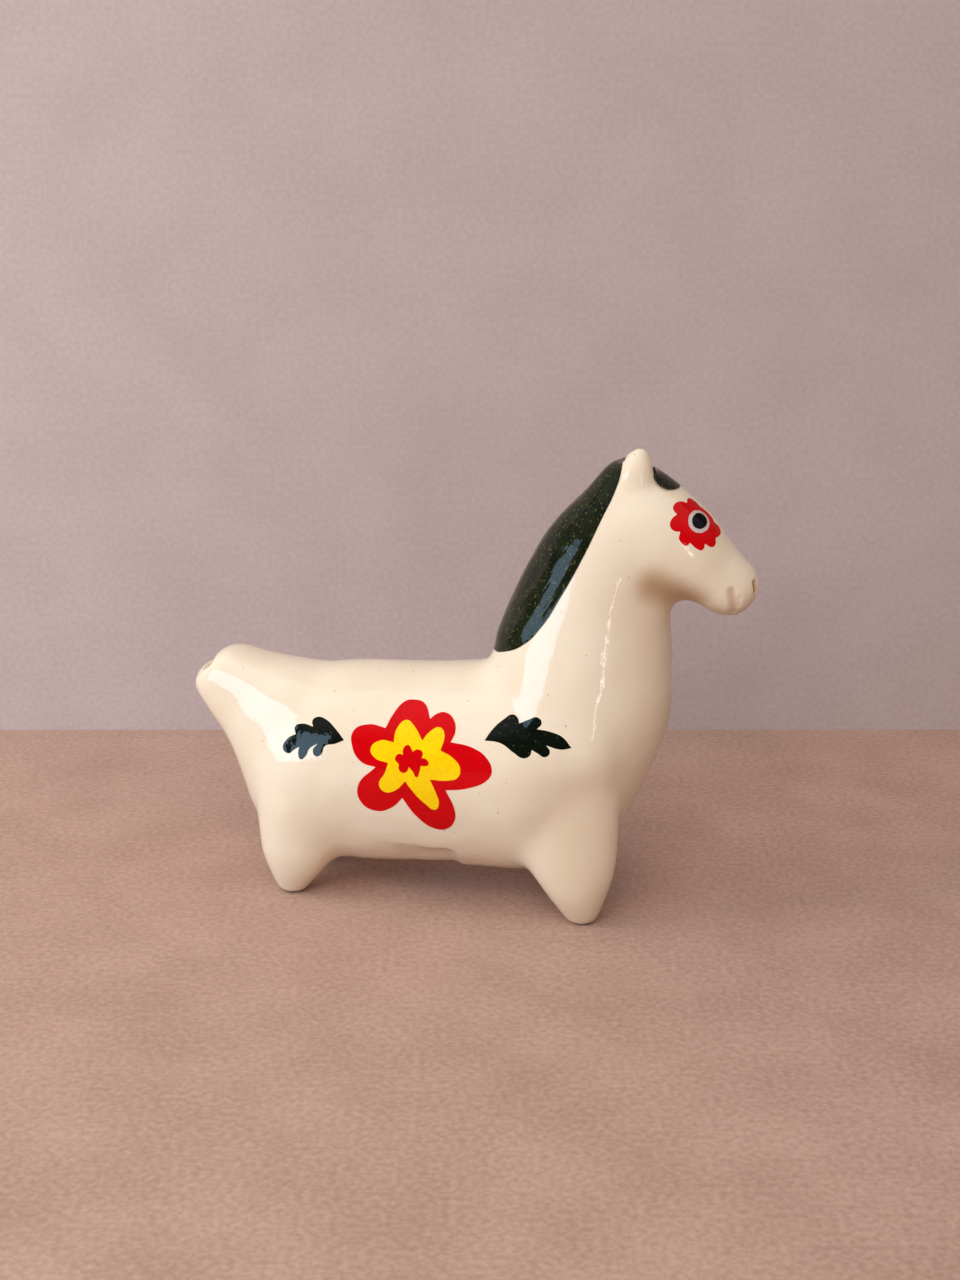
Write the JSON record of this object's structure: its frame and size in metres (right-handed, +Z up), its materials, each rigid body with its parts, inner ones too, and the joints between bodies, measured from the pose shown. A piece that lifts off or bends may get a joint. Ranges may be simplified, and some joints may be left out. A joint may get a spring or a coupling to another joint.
{
  "type": "clay whistle",
  "caption": "Small glazed clay whistle shaped as a standing horse, blown through a slit in its upturned tail, with a hollow barrel as its sound chamber and a sounding window under the belly.",
  "frame": {"origin": "centre of the bounding box in plan, on the floor under the feet", "axes": "+X to the horse's head, +Y to the horse's left, +Z up"},
  "size_m": [0.0902, 0.0298, 0.0738],
  "materials": {
    "cream_glaze": "glossy clear glaze over cream clay, with painted flowers and leaves",
    "green_glaze": "glossy dark green"
  },
  "bodies": {
    "root": {"chamber_pot": "cream_glaze", "rump_block": "cream_glaze", "tail_mouthpiece": "cream_glaze", "neck": "cream_glaze", "head": "cream_glaze", "ear_right": "cream_glaze", "ear_left": "cream_glaze", "foreleg_right": "cream_glaze", "foreleg_left": "cream_glaze", "hindleg_right": "cream_glaze", "hindleg_left": "cream_glaze", "mane": "green_glaze", "forelock": "green_glaze"}
  },
  "joints": []
}
